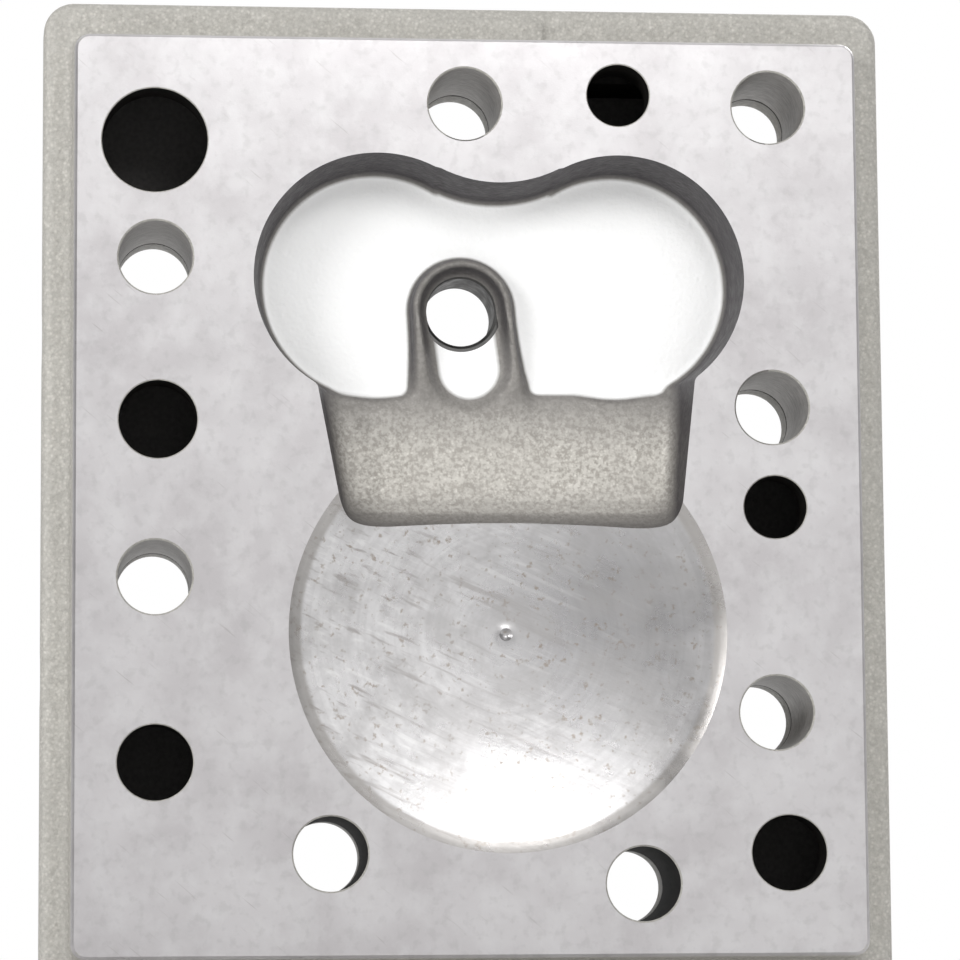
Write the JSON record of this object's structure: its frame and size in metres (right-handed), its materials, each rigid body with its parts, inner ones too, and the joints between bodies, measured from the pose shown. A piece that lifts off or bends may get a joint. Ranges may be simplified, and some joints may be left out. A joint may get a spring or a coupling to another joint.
{
  "type": "cylinder head",
  "caption": "Liquid-cooled side-valve engine cylinder head with dished chamber and valve pocket, ribbed jacket cover, thermostat and water outlet.",
  "frame": {"origin": "where the cylinder's axis meets the gasket face", "axes": "-Y out of the gasket face towards the cylinder, +Z from the cylinder towards the valves, +X to the right when looking at the gasket face"},
  "size_m": [0.162, 0.085, 0.192],
  "materials": {
    "machined_casting": "cast aluminium with a milled gasket face and a turned dish",
    "cast_cover": "sand cast",
    "plated_steel": "zinc plated",
    "bright_steel": "turned",
    "spring_steel": "drawn wire",
    "brass": "turned, lightly tarnished",
    "copper": "soft copper",
    "fibre_gasket": "pressed fibre",
    "black_insulator": "moulded phenolic",
    "black_iron": "black iron"
  },
  "bodies": {
    "head": {"head_casting": "machined_casting", "core_plugs": "plated_steel", "plug_insert": "bright_steel", "jacket_gasket": "fibre_gasket", "jacket_cover": "cast_cover", "cover_screws": "plated_steel", "cover_washers": "plated_steel", "thermostat_frame": "brass", "thermostat_spring": "spring_steel", "outlet_gasket": "fibre_gasket", "outlet_elbow": "cast_cover", "outlet_screws": "plated_steel", "outlet_washers": "plated_steel", "sender_body": "brass", "sender_seal": "copper", "sender_insulator": "black_insulator", "sender_terminal": "brass", "sender_nut": "brass", "petcock_body": "brass", "pipe_plug": "black_iron"},
    "thermostat_valve": {"thermostat_valve": "brass"},
    "jiggle_pin": {"jiggle_pin": "brass"},
    "petcock_key": {"petcock_key": "brass", "petcock_lever": "plated_steel", "petcock_spring": "spring_steel", "petcock_nut": "brass"}
  },
  "joints": [
    {"name": "valve_lift", "type": "slide", "parent": "head", "child": "thermostat_valve", "axis": [0, -1, 0], "range_m": [0, 0.008], "stiffness_N_per_m": 6000, "springref_m": -0.01, "deforming": ["thermostat_spring"]},
    {"name": "jiggle_slide", "type": "slide", "parent": "head", "child": "jiggle_pin", "axis": [0, 1, 0], "range_m": [-0.0002, 0.0023]},
    {"name": "petcock_turn", "type": "hinge", "parent": "head", "child": "petcock_key", "pos_m": [0.021, 0.05, 0.094], "axis": [-1, 0, 0], "range_deg": [0, 90]}
  ]
}
